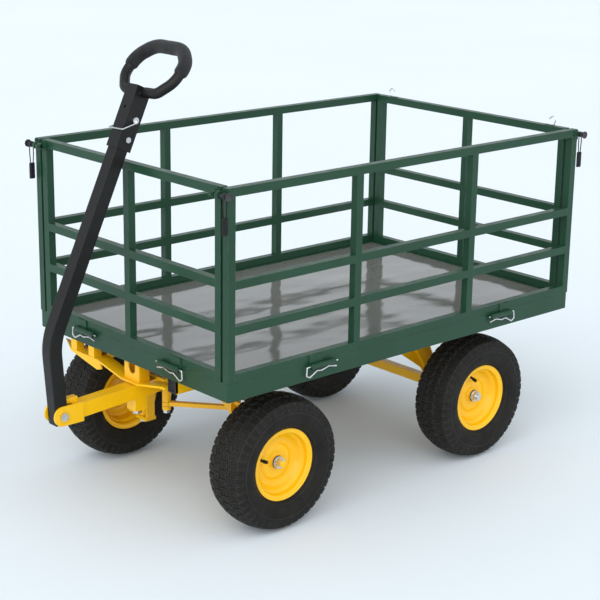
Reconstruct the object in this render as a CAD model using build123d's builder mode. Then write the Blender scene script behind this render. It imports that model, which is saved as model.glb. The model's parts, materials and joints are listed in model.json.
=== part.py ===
from build123d import *

import os
from math import atan2, cos, degrees, radians, sin, tan

# Garden cart: steel bed with four lattice panels, two-wheel steering and a towing handle.
# Millimetres. +X is forward (the handle end), +Y is left, +Z is up. The floor is z = 0, and the
# origin is under the middle of the whole cart's length and width.

# ---------------------------------------------------------------- driving dimensions
bed_x = -105.3  # middle of the bed along X
bed_length = 1200.0
bed_width = 762.0
bed_corner = 6.0
skirt_low = 376.0
skirt_height = 44.0
skirt_top = skirt_low + skirt_height
skirt_lip = 25.0
skirt_wall = 2.5
deck_thickness = 2.0

panel_tube = 20.0
panel_wall = 1.5
panel_height = 450.0
panel_gap = 0.5
panel_low = skirt_top + panel_gap
panel_top = panel_low + panel_height
rail_heights = (0.0, 112.0, 218.0, panel_height - panel_tube)  # undersides of the four rails
end_panel_width = 706.0
side_upright_x = 200.0

hinge_out = 8.5  # hinge axis outboard of the skirt face
hinge_drop = 7.0  # and below the skirt's top
hinge_z = skirt_top - hinge_drop
knuckle_radius = 6.5
knuckle_length = 38.0
clip_radius = 2.0
side_hinge_x = 318.0
end_hinge_y = 172.0

rail_width = 31.0
rail_height = 38.0
rail_wall = 2.5
rail_y = 160.5
rail_top = skirt_low
rail_low = rail_top - rail_height

wheel_radius = 167.0
tyre_width = 112.0
rim_flange = 90.0
rim_width = 78.0
axle_z = wheel_radius
axle_radius = 8.0
running_fit = 0.05
front_x = bed_x + 403.0
rear_x = bed_x - 312.0
front_wheel_y = 312.0
rear_wheel_y = 297.0

king_y = 206.0  # steering axis of each front wheel
king_radius = 7.0
knuckle_low = 136.0
knuckle_high = 275.0

steer_x = bed_x + 575.0  # tongue pivot under the bed's front edge
steer_arm = 90.0  # distance from each steering axis back to its tie rod pin
tie_top = 248.0  # upper face of the higher tie rod
tie_thick = 10.0
tie_step = 11.0  # the right rod's eye lies this far under the left one's
arm_plate = 8.0
tie_pin_radius = 5.0

tongue_width = 36.0
tongue_rise = 3.4  # degrees, rising to the rear
handle_x = bed_x + 805.0  # handle pivot
handle_z = 290.0
handle_wide = 34.0
handle_deep = 35.0
handle_wall = 2.5
lower_lean = 4.3  # degrees forward of vertical, up to the bend
upper_lean = -24.8  # degrees, leaning back above the bend
bend_rise = 182.5  # pivot to bend along the lower run
upper_run = 600.0  # bend to the tube's top end
channel_from = 474.0
channel_to = 628.0
channel_wall = 2.7
grip_tube = 12.5
foam_radius = 16.5

latch_z = panel_top - 15.0
latch_out = 12.0  # latch pin axis in front of the panel's face
latch_pin_radius = 3.5
latch_travel = 12.0

front_face = bed_x + bed_length / 2
rear_face = bed_x - bed_length / 2
side_face = bed_width / 2

os.makedirs("parts", exist_ok=True)


def save(shape, name):
    """Label a finished piece and write it."""
    shape.label = name
    export_step(shape, f"parts/{name}.step")


def group(name, solids):
    """Write several separate solids as one node."""
    save(Compound(children=list(solids)), name)


def box_at(low, high):
    """A solid box between two corners."""
    with BuildPart() as block:
        with Locations(tuple((a + b) / 2 for a, b in zip(low, high))):
            Box(*[b - a for a, b in zip(low, high)])
    return block.part


def tube_between(low, high, run, wall, closed_top=0.0):
    """A hollow rectangular tube between two corners; run is the axis that it is open along."""
    inner_low = [a + (0 if axis == run else wall) for axis, a in zip("XYZ", low)]
    inner_high = [b - (0 if axis == run else wall) for axis, b in zip("XYZ", high)]
    inner_high[2] -= closed_top
    with BuildPart() as tube:
        add(box_at(low, high))
        add(box_at(inner_low, inner_high), mode=Mode.SUBTRACT)
    return tube.part


def rod(start, end, radius, bore=0.0):
    """A straight round bar, or a sleeve if it has a bore."""
    start, end = Vector(*start), Vector(*end)
    with BuildPart() as bar:
        with BuildSketch(Plane(origin=start, z_dir=end - start)):
            Circle(radius)
            if bore:
                Circle(bore, mode=Mode.SUBTRACT)
        extrude(amount=(end - start).length)
    return bar.part


def hexagon(start, end, across_flats):
    """A hexagonal bolt head or nut."""
    start, end = Vector(*start), Vector(*end)
    with BuildPart() as nut:
        with BuildSketch(Plane(origin=start, z_dir=end - start)):
            RegularPolygon(across_flats / 2, 6, major_radius=False)
        extrude(amount=(end - start).length)
    return nut.part


def wire(points, radius, bend):
    """A round wire along points, with the same bend at every corner."""
    with BuildPart() as formed:
        with BuildLine():
            path = FilletPolyline(*points, radius=bend)
        with BuildSketch(Plane(origin=path @ 0, z_dir=path % 0)):
            Circle(radius)
        sweep(path=path)
    return formed.part


def union(*solids):
    """One welded piece made of several solids."""
    with BuildPart() as welded:
        for solid in solids:
            add(solid)
    return welded.part


def cut(body, *tools):
    """Take the tools out of a body."""
    with BuildPart() as result:
        add(body)
        for tool in tools:
            add(tool, mode=Mode.SUBTRACT)
    return result.part


# ---------------------------------------------------------------- bed
with BuildPart() as bed_frame:
    with BuildSketch(Plane.XY.offset(skirt_low)):
        with Locations((bed_x, 0)):
            RectangleRounded(bed_length, bed_width, bed_corner)
            Rectangle(bed_length - 2 * skirt_lip, bed_width - 2 * skirt_lip, mode=Mode.SUBTRACT)
    extrude(amount=skirt_height)
    # The rim is folded sheet, open underneath: a deep groove runs all round inside it.
    with BuildSketch(Plane.XY.offset(skirt_low)):
        with Locations((bed_x, 0)):
            Rectangle(bed_length - 2 * skirt_wall, bed_width - 2 * skirt_wall)
            Rectangle(
                bed_length - 2 * (skirt_lip - skirt_wall),
                bed_width - 2 * (skirt_lip - skirt_wall),
                mode=Mode.SUBTRACT,
            )
    extrude(amount=skirt_height - skirt_wall, mode=Mode.SUBTRACT)
save(bed_frame.part, "bed_frame")

deck_length = bed_length - 2 * skirt_lip
deck_width = bed_width - 2 * skirt_lip
deck_top = skirt_top - 3.0
deck_low = deck_top - deck_thickness
save(
    box_at(
        (bed_x - deck_length / 2, -deck_width / 2, deck_low),
        (bed_x + deck_length / 2, deck_width / 2, deck_top),
    ),
    "deck_sheet",
)

beam_half = 14.0
cross_xs = [bed_x + dx for dx in (-450.0, -150.0, 150.0, 480.0)]
group(
    "deck_crossmembers",
    [
        tube_between(
            (x - beam_half, -deck_width / 2, rail_top), (x + beam_half, deck_width / 2, deck_low),
            "Y", skirt_wall,
        )
        for x in cross_xs
    ],
)

# The right rail stops behind the front strap; the left one runs through to an open front end.
strap_x = (front_face - 40.0, front_face)
rail_from = rear_face + 40.0
group(
    "chassis_rails",
    [
        tube_between(
            (rail_from, side * rail_y - rail_width / 2, rail_low),
            (rail_to, side * rail_y + rail_width / 2, rail_top),
            "X", rail_wall,
        )
        for side, rail_to in ((-1, strap_x[0]), (1, front_face - 10.0))
    ],
)

# ---------------------------------------------------------------- front support and steering head
strap_thick = 5.0
strap_wing_z = 348.0
strap_dip_z = 328.0
wing_end_y = -329.0
wing_short_y = -247.0
strap_bend_y = 130.0
head_half = 30.0
left_end_y = rail_y - rail_width / 2
with BuildPart() as front_strap:
    with BuildSketch(Plane.YZ.offset(strap_x[0])):
        with BuildLine():
            Polyline(
                (wing_end_y, strap_wing_z - strap_thick), (-strap_bend_y, strap_wing_z - strap_thick),
                (-head_half, strap_dip_z - strap_thick), (head_half, strap_dip_z - strap_thick),
                (strap_bend_y, strap_wing_z - strap_thick), (left_end_y, strap_wing_z - strap_thick),
                (left_end_y, strap_wing_z), (strap_bend_y, strap_wing_z),
                (head_half, strap_dip_z), (-head_half, strap_dip_z),
                (-strap_bend_y, strap_wing_z), (wing_end_y, strap_wing_z), close=True,
            )
        make_face()
    extrude(amount=strap_x[1] - strap_x[0])
    # The wing's outer end is cut on a slant, longest at the back.
    with BuildSketch(Plane.XY.offset(strap_wing_z - 20.0)):
        with BuildLine():
            Polyline(
                (strap_x[0], wing_end_y), (strap_x[1], wing_short_y),
                (strap_x[1] + 1.0, wing_end_y - 1.0), (strap_x[0], wing_end_y - 1.0), close=True,
            )
        make_face()
    extrude(amount=40.0, mode=Mode.SUBTRACT)
    # A tapered gusset stiffens the wing from below and ends short of the bend.
    with BuildSketch(Plane.YZ.offset(strap_x[1] - strap_thick)):
        with BuildLine():
            Polyline(
                (wing_short_y, strap_wing_z - strap_thick), (-strap_bend_y - 4.0, strap_wing_z - 27.0),
                (-strap_bend_y + 14.0, strap_wing_z - 22.0), (-strap_bend_y + 10.0, strap_wing_z - strap_thick),
                close=True,
            )
        make_face()
    extrude(amount=strap_thick)
    # Spacer blocks carry the wing up to the underside of the rim.
    for y in (-160.0, -236.0):
        with Locations((strap_x[1] - skirt_lip / 2 - 1.0, y, (strap_wing_z + skirt_low) / 2)):
            Box(skirt_lip - 2.0, 24.0, skirt_low - strap_wing_z)

head_top = skirt_low
slot_half = 13.0
slot_low = 344.0
cheek = 4.0
head_x = (steer_x - 16.0, steer_x + 15.0)
with BuildPart() as steering_head:
    add(box_at((head_x[0], -head_half, strap_dip_z), (head_x[1], head_half, head_top)))
    add(
        box_at(
            (head_x[0] + cheek, -head_half + cheek, strap_dip_z + cheek),
            (head_x[1] - cheek, head_half - cheek, head_top),
        ),
        mode=Mode.SUBTRACT,
    )
    # A round-bottomed opening in the front plate gives a spanner room at the steering bolt.
    with BuildSketch(Plane.YZ.offset(head_x[1] - 2 * cheek)):
        with Locations((0, slot_low + slot_half)):
            Circle(slot_half)
        with Locations((0, (slot_low + slot_half + head_top) / 2)):
            Rectangle(2 * slot_half, head_top - slot_low - slot_half)
    extrude(amount=3 * cheek, mode=Mode.SUBTRACT)
    add(rod((steer_x, 0, strap_dip_z - 1.0), (steer_x, 0, head_top), king_radius), mode=Mode.SUBTRACT)
strap_hole = rod((steer_x, 0, strap_dip_z - 20.0), (steer_x, 0, strap_dip_z + 1.0), king_radius)
save(cut(front_strap.part, strap_hole), "front_strap")
save(steering_head.part, "steering_head")

# ---------------------------------------------------------------- front axle beam and knuckles
axle_half = 25.0
beam_top = rail_low
arch_flat = 111.0  # half the beam's level middle
arch_low = 300.0
arch_end = 184.0
arch_end_low = arch_low - (arch_end - arch_flat) * tan(radians(34.0))
arch_end_top = arch_end_low + 44.0
web_y = 176.0
lug_y = king_y + 14.0
lug_high = knuckle_high + 10.0
lug_low = knuckle_low - 10.0
with BuildPart() as front_axle_beam:
    with BuildSketch(Plane.YZ.offset(front_x - axle_half)):
        with BuildLine():
            Polyline(
                (-arch_end, arch_end_top), (-arch_flat - 14, beam_top), (arch_flat + 14, beam_top),
                (arch_end, arch_end_top), (arch_end, arch_end_low), (arch_flat, arch_low),
                (-arch_flat, arch_low), (-arch_end, arch_end_low), close=True,
            )
        make_face()
    extrude(amount=2 * axle_half)
    for side in (-1, 1):
        # Each end is a fork: a web with an upper and a lower lug round the knuckle.
        web = sorted((side * web_y, side * arch_end))
        lug = sorted((side * web_y, side * lug_y))
        add(box_at((front_x - 12, web[0], lug_low), (front_x + 12, web[1], arch_end_low + 10)))
        for low, high in ((knuckle_high + 1, lug_high), (lug_low, knuckle_low - 1)):
            add(box_at((front_x - 16, lug[0], low), (front_x + 16, lug[1], high)))
        add(
            rod((front_x, side * king_y, lug_low - 1), (front_x, side * king_y, lug_high + 1), king_radius),
            mode=Mode.SUBTRACT,
        )
save(front_axle_beam.part, "front_axle_beam")

pin_nut = 8.0
group(
    "kingpins",
    [
        union(
            rod((front_x, side * king_y, lug_low - 10), (front_x, side * king_y, lug_high), king_radius),
            hexagon((front_x, side * king_y, lug_high), (front_x, side * king_y, lug_high + pin_nut), 22),
            hexagon((front_x, side * king_y, lug_low - pin_nut), (front_x, side * king_y, lug_low), 22),
        )
        for side in (-1, 1)
    ],
)

upright_in = king_y + 16.0
upright_out = upright_in + 29.0
upright_half = 18.0
spindle_reach = 36.0  # past the wheel's middle
pin_x = front_x - steer_arm
arm_low = tie_top + 1.0
arm_half = 9.0


def steering_knuckle(side):
    """Upright with its kingpin sleeve, spindle and steering arm; side is +1 for the left."""
    king = side * king_y
    block_y = sorted((side * upright_in, side * upright_out))
    neck_y = sorted((king, side * (upright_in + 1)))
    with BuildPart() as knuckle:
        add(box_at((front_x - upright_half, block_y[0], knuckle_low), (front_x + upright_half, block_y[1], knuckle_high)))
        add(rod((front_x, king, knuckle_low), (front_x, king, knuckle_high), 14.0))
        add(box_at((front_x - 9, neck_y[0], knuckle_low + 12), (front_x + 9, neck_y[1], knuckle_high - 12)))
        add(box_at((pin_x, king - arm_half, arm_low), (front_x - 8, king + arm_half, arm_low + arm_plate)))
        add(rod((pin_x, king, arm_low), (pin_x, king, arm_low + arm_plate), arm_half))
        spindle = (front_x, side * (front_wheel_y + spindle_reach), axle_z)
        add(rod((front_x, side * (upright_out - 1), axle_z), spindle, axle_radius))
        add(
            rod((front_x, king, knuckle_low - 1), (front_x, king, knuckle_high + 1), king_radius + running_fit),
            mode=Mode.SUBTRACT,
        )
        add(
            rod((pin_x, king, arm_low - 1), (pin_x, king, arm_low + arm_plate + 1), tie_pin_radius),
            mode=Mode.SUBTRACT,
        )
    return knuckle.part


for side, word in ((1, "left"), (-1, "right")):
    save(steering_knuckle(side), f"steering_knuckle_{word}")

# ---------------------------------------------------------------- rear axle
axle_tube_half = 12.0
rear_tube_end = 240.0
with BuildPart() as rear_axle_tube:
    add(
        box_at(
            (rear_x - axle_tube_half, -rear_tube_end, axle_z - axle_tube_half),
            (rear_x + axle_tube_half, rear_tube_end, axle_z + axle_tube_half),
        )
    )
    add(
        rod((rear_x, -rear_tube_end - 1, axle_z), (rear_x, rear_tube_end + 1, axle_z), axle_radius),
        mode=Mode.SUBTRACT,
    )
save(rear_axle_tube.part, "rear_axle_tube")
rear_shaft_end = rear_wheel_y + spindle_reach
save(rod((rear_x, -rear_shaft_end, axle_z), (rear_x, rear_shaft_end, axle_z), axle_radius), "rear_axle_shaft")

axle_top = axle_z + axle_tube_half
gusset_thick = 5.0
strut_lean = 56.0  # degrees above horizontal, running forward and up
strut_deep = 25.0
strut_wide = 16.0


def rear_bracket(side):
    """Welded bracket from the rear axle up to a chassis rail: a tapered plate and a box strut."""
    plate_y = side * (rail_y - 3.0)
    reach = (rail_low - axle_top) / tan(radians(strut_lean))
    foot = (rear_x - 4.0, axle_top)
    with BuildPart() as bracket:
        with BuildSketch(Plane.XZ.offset(-(plate_y + gusset_thick / 2))):
            with BuildLine():
                edge = Polyline((rear_x + 222, rail_low), (rear_x + 45, 216), (rear_x + 30, 192), (rear_x + 12, axle_top))
                Line(edge @ 1, (rear_x - 12, axle_top))
                back = Polyline((rear_x - 12, axle_top), (rear_x - 8, 226), (rear_x + 44, rail_low))
                Line(back @ 1, edge @ 0)
            make_face()
        extrude(amount=gusset_thick)
        strut_from = plate_y - gusset_thick / 2 if side > 0 else plate_y + gusset_thick / 2 - strut_wide
        with BuildSketch(Plane.XZ.offset(-(strut_from + strut_wide))):
            with BuildLine():
                Polyline(
                    (foot[0] - strut_deep / 2, foot[1]), (foot[0] + strut_deep / 2 + 4, foot[1]),
                    (foot[0] + strut_deep / 2 + 4 + reach, rail_low), (foot[0] - strut_deep / 2 + reach, rail_low),
                    close=True,
                )
            make_face()
        extrude(amount=strut_wide)
    return bracket.part


group("rear_brackets", [rear_bracket(side) for side in (-1, 1)])

# ---------------------------------------------------------------- tongue
ear = 5.0
ear_radius = 24.0
ear_back = 58.0
tongue_front = handle_x - 34.0
tongue_back = steer_x - steer_arm - 12.0
tongue_deep = 36.0
tongue_wall = 3.0
slope = tan(radians(tongue_rise))


def tongue_mid(x):
    """Height of the tongue's centre line at x."""
    return handle_z + (handle_x - 30.0 - x) * slope


tail_z = tongue_mid(steer_x - steer_arm)
with BuildPart() as tongue:
    for width, trim, mode in ((tongue_width, 0.0, Mode.ADD), (tongue_width - 2 * tongue_wall, tongue_wall, Mode.SUBTRACT)):
        half = tongue_deep / 2 - trim
        with BuildSketch(Plane.XZ.offset(-width / 2)):
            with BuildLine():
                Polyline(
                    (tongue_front, tongue_mid(tongue_front) - half), (tongue_front, tongue_mid(tongue_front) + half),
                    (tongue_back, tongue_mid(tongue_back) + half), (tongue_back, tongue_mid(tongue_back) - half),
                    close=True,
                )
            make_face()
        extrude(amount=width, mode=mode)
    for side in (-1, 1):
        with BuildSketch(Plane.XZ.offset(-(side * (tongue_width / 2 + ear / 2) + ear / 2))):
            with BuildLine():
                Polyline(
                    (handle_x, handle_z + ear_radius), (handle_x - ear_back, handle_z + ear_radius),
                    (handle_x - ear_back, handle_z - ear_radius), (handle_x, handle_z - ear_radius), close=True,
                )
            make_face()
            with Locations((handle_x, handle_z)):
                Circle(ear_radius)
        extrude(amount=ear)
    add(rod((handle_x, -40, handle_z), (handle_x, 40, handle_z), 6.0), mode=Mode.SUBTRACT)
    # A hooked lug between the ears stops the handle from behind.
    lug_z = tongue_mid(handle_x - 34.0) + tongue_deep / 2
    add(box_at((handle_x - 50, -9, lug_z - 3), (handle_x - 34, 9, lug_z + 18)))
    add(box_at((handle_x - 50, -9, handle_z + 24), (handle_x - 16.3, 9, lug_z + 18)))
    # Square boss round the steering bolt, standing proud below the tongue, and a sleeve under the tail.
    add(box_at((steer_x - 18, -17, 250), (steer_x + 18, 17, tongue_mid(steer_x) - tongue_deep / 2 + 3)))
    boss_low = (steer_x - steer_arm, 0, tie_top + 1)
    boss_high = (steer_x - steer_arm, 0, tail_z + tongue_deep / 2 + 3)
    add(rod(boss_low, (boss_low[0], 0, tail_z), 11.0))
    add(box_at((tongue_back, -50, boss_high[2] - 5), (steer_x - 46, 50, boss_high[2])))
    add(rod((boss_low[0], 0, boss_low[2] - 1), (boss_low[0], 0, boss_high[2] + 1), tie_pin_radius), mode=Mode.SUBTRACT)
    add(rod((steer_x, 0, 249), (steer_x, 0, 340), king_radius + running_fit), mode=Mode.SUBTRACT)
save(tongue.part, "tongue")

head_bolt_top = strap_dip_z + cheek
save(
    union(
        rod((steer_x, 0, 238), (steer_x, 0, head_bolt_top + 9), king_radius),
        hexagon((steer_x, 0, head_bolt_top), (steer_x, 0, head_bolt_top + 8), 19),
        hexagon((steer_x, 0, 240), (steer_x, 0, 249), 22),
    ),
    "steering_bolt",
)
bolt_end = tongue_width / 2 + ear
tie_low = tie_top - tie_step - tie_thick
group(
    "tongue_bolts",
    [
        union(
            rod((handle_x, -bolt_end - 8, handle_z), (handle_x, bolt_end + 3, handle_z), 6.0),
            hexagon((handle_x, bolt_end, handle_z), (handle_x, bolt_end + 7, handle_z), 19),
            hexagon((handle_x, -bolt_end - 8, handle_z), (handle_x, -bolt_end, handle_z), 19),
        ),
        union(
            rod((boss_low[0], 0, tie_low - 8), (boss_low[0], 0, boss_high[2] + 2), tie_pin_radius),
            hexagon((boss_low[0], 0, boss_high[2]), (boss_low[0], 0, boss_high[2] + 6), 16),
            hexagon((boss_low[0], 0, tie_low - 8), (boss_low[0], 0, tie_low - 1), 16),
        ),
    ],
)


def tie_rod(side, top):
    """Flat rod with an eye at each end, from the tongue's tail to a knuckle arm."""
    inner = Vector(steer_x - steer_arm, 0, top - tie_thick)
    outer = Vector(pin_x, side * king_y, top - tie_thick)
    middle = (inner + outer) * 0.5
    angle = degrees(atan2(outer.Y - inner.Y, outer.X - inner.X))
    with BuildPart() as link:
        with BuildSketch(Plane.XY.offset(top - tie_thick)):
            with Locations(Location((middle.X, middle.Y, 0), (0, 0, angle))):
                Rectangle((outer - inner).length, 14.0)
            for eye, hole in ((inner, running_fit), (outer, 0.5)):
                with Locations((eye.X, eye.Y)):
                    Circle(11.0)
            for eye, hole in ((inner, running_fit), (outer, 0.5)):
                with Locations((eye.X, eye.Y)):
                    Circle(tie_pin_radius + hole, mode=Mode.SUBTRACT)
        extrude(amount=tie_thick)
    return link.part


rod_tops = {"left": tie_top, "right": tie_top - tie_step}
for side, word in ((1, "left"), (-1, "right")):
    save(tie_rod(side, rod_tops[word]), f"tie_rod_{word}")

# ---------------------------------------------------------------- handle
lower_dir = Vector(sin(radians(lower_lean)), 0, cos(radians(lower_lean)))
upper_dir = Vector(sin(radians(upper_lean)), 0, cos(radians(upper_lean)))
pivot = Vector(handle_x, 0, handle_z)
bend_at = pivot + lower_dir * bend_rise
tube_foot = pivot - lower_dir * 22.0
tube_top = bend_at + upper_dir * upper_run
with BuildPart() as handle_tube:
    with BuildLine():
        spine = FilletPolyline(tube_foot, bend_at, tube_top, radius=150.0)
    with BuildSketch(Plane(origin=tube_foot, x_dir=(0, 1, 0), z_dir=lower_dir)):
        RectangleRounded(handle_wide, handle_deep, 2.5)
        RectangleRounded(handle_wide - 2 * handle_wall, handle_deep - 2 * handle_wall, 1.0, mode=Mode.SUBTRACT)
    sweep(path=spine)
    add(rod((handle_x, -40, handle_z), (handle_x, 40, handle_z), 6.0 + running_fit), mode=Mode.SUBTRACT)
handle_tube_solid = handle_tube.part

back_dir = Vector(-cos(radians(upper_lean)), 0, sin(radians(upper_lean)))  # towards the bed


def on_handle(along, back=0.0, y=0.0):
    """A point on the upper run: along from the bend, back towards the bed."""
    return bend_at + upper_dir * along + back_dir * back + Vector(0, y, 0)


channel_half = handle_wide / 2 + 0.15 + channel_wall
channel_front = -(handle_deep / 2 + 0.15 + channel_wall)
channel_back = handle_deep / 2 + 5.0
with BuildPart() as grip_channel:
    with BuildSketch(Plane(origin=on_handle(channel_from), x_dir=(0, 1, 0), z_dir=upper_dir)) as channel_sketch:
        # Sketch Y runs across the handle's depth.
        depth_sign = 1.0 if Plane(origin=(0, 0, 0), x_dir=(0, 1, 0), z_dir=upper_dir).y_dir.dot(back_dir) > 0 else -1.0
        with Locations((0, depth_sign * (channel_front + channel_back) / 2)):
            Rectangle(2 * channel_half, channel_back - channel_front)
        with Locations((0, depth_sign * (channel_front + channel_wall + channel_back + 1) / 2)):
            Rectangle(
                2 * (channel_half - channel_wall), channel_back + 1 - channel_front - channel_wall,
                mode=Mode.SUBTRACT,
            )
    extrude(amount=channel_to - channel_from)
    add(rod(on_handle(612.0, channel_front + 12.0, -60), on_handle(612.0, channel_front + 12.0, 60), 3.0), mode=Mode.SUBTRACT)
save(grip_channel.part, "grip_channel")

# D-shaped loop in a plane that leans back more than the tube.
loop_lean = radians(43.0)
loop_dir = Vector(-sin(loop_lean), 0, cos(loop_lean))
loop_root = on_handle(606.0, 2.0)


def on_loop(y, rise):
    """A point of the grip loop's plane."""
    return loop_root + loop_dir * rise + Vector(0, y, 0)


loop_half = 95.0
loop_top = 142.0
loop_start = channel_half + 1.0
loop_points = [
    on_loop(-loop_start, 12), on_loop(-62, 14), on_loop(-loop_half, 52), on_loop(-loop_half, 104),
    on_loop(-52, loop_top), on_loop(52, loop_top),
    on_loop(loop_half, 104), on_loop(loop_half, 52), on_loop(62, 14), on_loop(loop_start, 12),
]
with BuildPart() as grip_loop:
    with BuildLine():
        loop_path = FilletPolyline(*loop_points, radius=[18, 26, 26, 30, 30, 26, 26, 18])
    with BuildSketch(Plane(origin=loop_path @ 0, z_dir=loop_path % 0)):
        Circle(grip_tube)
        Circle(grip_tube - 2.0, mode=Mode.SUBTRACT)
    sweep(path=loop_path)
save(grip_loop.part, "grip_loop")

foam_points = [
    on_loop(-loop_half, 74), on_loop(-loop_half, 104), on_loop(-52, loop_top), on_loop(52, loop_top),
    on_loop(loop_half, 104), on_loop(loop_half, 74),
]
with BuildPart() as grip_foam:
    with BuildLine():
        foam_path = FilletPolyline(*foam_points, radius=[26, 30, 30, 26])
    with BuildSketch(Plane(origin=foam_path @ 0, z_dir=foam_path % 0)):
        Circle(foam_radius)
        Circle(grip_tube + 0.02, mode=Mode.SUBTRACT)
    sweep(path=foam_path)
save(grip_foam.part, "grip_foam")

lock_along = 548.0
pivot_along = 500.0
top_bolt_along = 606.0
cross_end = channel_half
tube_cuts = [
    rod(on_handle(lock_along, 3.0, -60), on_handle(lock_along, 3.0, 60), 5.0),
    rod(on_handle(pivot_along, 3.0, -60), on_handle(pivot_along, 3.0, 60), 4.0),
]
save(cut(handle_tube_solid, *tube_cuts), "handle_tube")
save(
    cut(
        grip_channel.part,
        rod(on_handle(lock_along, 3.0, -60), on_handle(lock_along, 3.0, 60), 5.0),
        rod(on_handle(pivot_along, 3.0, -60), on_handle(pivot_along, 3.0, 60), 4.0),
        rod(on_handle(572.0, channel_front - 5), on_handle(572.0, channel_front + 10), 4.0),
    ),
    "grip_channel",
)
save(
    union(
        rod(on_handle(pivot_along, 3.0, -cross_end - 7), on_handle(pivot_along, 3.0, cross_end + 3), 4.0),
        hexagon(on_handle(pivot_along, 3.0, cross_end), on_handle(pivot_along, 3.0, cross_end + 5), 13),
        hexagon(on_handle(pivot_along, 3.0, -cross_end - 7), on_handle(pivot_along, 3.0, -cross_end), 13),
    ),
    "grip_pivot_bolt",
)
bail_bend = 7.0
bail_y = cross_end + 7.0
bail_points = [
    on_handle(lock_along, 3.0, cross_end + 9.5), on_handle(lock_along - 6, 3.0, bail_y + 3),
    on_handle(lock_along - 30, channel_front - 5, bail_y), on_handle(lock_along - 32, channel_front - 5, -bail_y),
    on_handle(lock_along - 24, channel_front + 8, -bail_y - 1),
]
bail = wire(bail_points, 1.6, 3.0)
save(
    cut(
        union(
            rod(on_handle(lock_along, 3.0, -cross_end - 8), on_handle(lock_along, 3.0, cross_end + 8), 5.0),
            rod(on_handle(lock_along, 3.0, cross_end + 0.5), on_handle(lock_along, 3.0, cross_end + 8), 8.0),
        ),
        bail,
    ),
    "lock_pin",
)
save(bail, "lock_pin_bail")

# ---------------------------------------------------------------- panels
half_tube = panel_tube / 2


def lattice(name, along, centre, half_span, face, uprights, extras):
    """Panel of square tube. along is "X" or "Y"; face is (low, high) across the panel."""

    def block(low, high, z_low, z_high, run, closed_top=0.0):
        if along == "X":
            corners = ((centre + low, face[0], z_low), (centre + high, face[1], z_high))
        else:
            corners = ((face[0], centre + low, z_low), (face[1], centre + high, z_high))
        return tube_between(*corners, run, panel_wall, closed_top)

    solids = []
    for side in (-1, 1):
        low, high = sorted((side * half_span, side * (half_span - panel_tube)))
        solids.append(block(low, high, panel_low, panel_top, "Z", 2.0))
    inside = half_span - panel_tube
    for rise in (rail_heights[0], rail_heights[-1]):
        solids.append(block(-inside, inside, panel_low + rise, panel_low + rise + panel_tube, along))
    stops = [-inside] + [v + d for v in uprights for d in (-half_tube, half_tube)] + [inside]
    for rise in rail_heights[1:-1]:
        for low, high in zip(stops[0::2], stops[1::2]):
            solids.append(block(low, high, panel_low + rise, panel_low + rise + panel_tube, along))
    for v in uprights:
        solids.append(block(v - half_tube, v + half_tube, panel_low + panel_tube, panel_top - panel_tube, "Z"))
    group(name, solids + list(extras))


def hinge_frame(edge):
    """Map (along the hinge, outboard of the rim face, up) to the cart's X, Y, Z for each edge."""
    if edge == "left":
        return lambda s, out, z: (bed_x + s, side_face + out, z)
    if edge == "right":
        return lambda s, out, z: (bed_x + s, -side_face - out, z)
    if edge == "front":
        return lambda s, out, z: (front_face + out, s, z)
    return lambda s, out, z: (rear_face - out, s, z)


def spanning_box(place, low, high):
    """A box between two corners given in a hinge frame."""
    corners = (place(*low), place(*high))
    return box_at([min(a, b) for a, b in zip(*corners)], [max(a, b) for a, b in zip(*corners)])


hinge_spots = {
    "left": (-side_hinge_x, side_hinge_x),
    "right": (-side_hinge_x, side_hinge_x),
    "front": (-end_hinge_y, end_hinge_y),
    "rear": (-end_hinge_y, end_hinge_y),
}
knuckle_gap = 0.5
bore = clip_radius + running_fit


def knuckle_pair(edge, spot):
    """The rim's knuckle and the panel's knuckle of one hinge, bored for the clip."""
    place = hinge_frame(edge)
    outward = 1 if spot > 0 else -1
    near = spot - outward * knuckle_gap / 2
    far = spot + outward * knuckle_gap / 2
    near_end = near - outward * knuckle_length
    far_end = far + outward * knuckle_length
    hole = rod(place(near_end - outward, hinge_out, hinge_z), place(far_end + outward, hinge_out, hinge_z), bore)
    rim = union(
        rod(place(near, hinge_out, hinge_z), place(near_end, hinge_out, hinge_z), knuckle_radius),
        spanning_box(place, (near, 0.0, hinge_z - knuckle_radius), (near_end, hinge_out, hinge_z)),
    )
    leaf = union(
        rod(place(far, hinge_out, hinge_z), place(far_end, hinge_out, hinge_z), knuckle_radius),
        spanning_box(place, (far, 0.4, hinge_z + 0.5), (far_end, 3.4, panel_low + 18.0)),
        spanning_box(place, (far, 0.0, panel_low + 2.0), (far_end, 3.4, panel_low + 18.0)),
    )
    return cut(rim, hole), cut(leaf, hole)


def hinge_clip(edge, spot):
    """Hairpin clip: the straight leg is the hinge pin, the wavy leg springs along the outside."""
    place = hinge_frame(edge)
    outward = 1 if spot > 0 else -1

    def at(s, out, drop):
        return place(spot + outward * s, hinge_out + out, hinge_z - drop)

    # The wavy leg stays close to the rim so that an open panel passes outside it.
    points = [
        at(-knuckle_length - 10, 0, 0), at(knuckle_length + 12, 0, 0), at(knuckle_length + 14, 0, 20),
        at(knuckle_length + 4, 0, 26), at(18, 0, 13), at(4, 0, 15), at(-20, 0, 9.2), at(-44, 0, 14),
    ]
    return wire(points, clip_radius, 2.6)


rim_knuckles = []
panel_leaves = {}
clips = []
for edge, spots in hinge_spots.items():
    panel_leaves[edge] = []
    for spot in spots:
        rim, leaf = knuckle_pair(edge, spot)
        rim_knuckles.append(rim)
        panel_leaves[edge].append(leaf)
        clips.append(hinge_clip(edge, spot))
group("rim_hinge_knuckles", rim_knuckles)
group("hinge_clips", clips)

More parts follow.
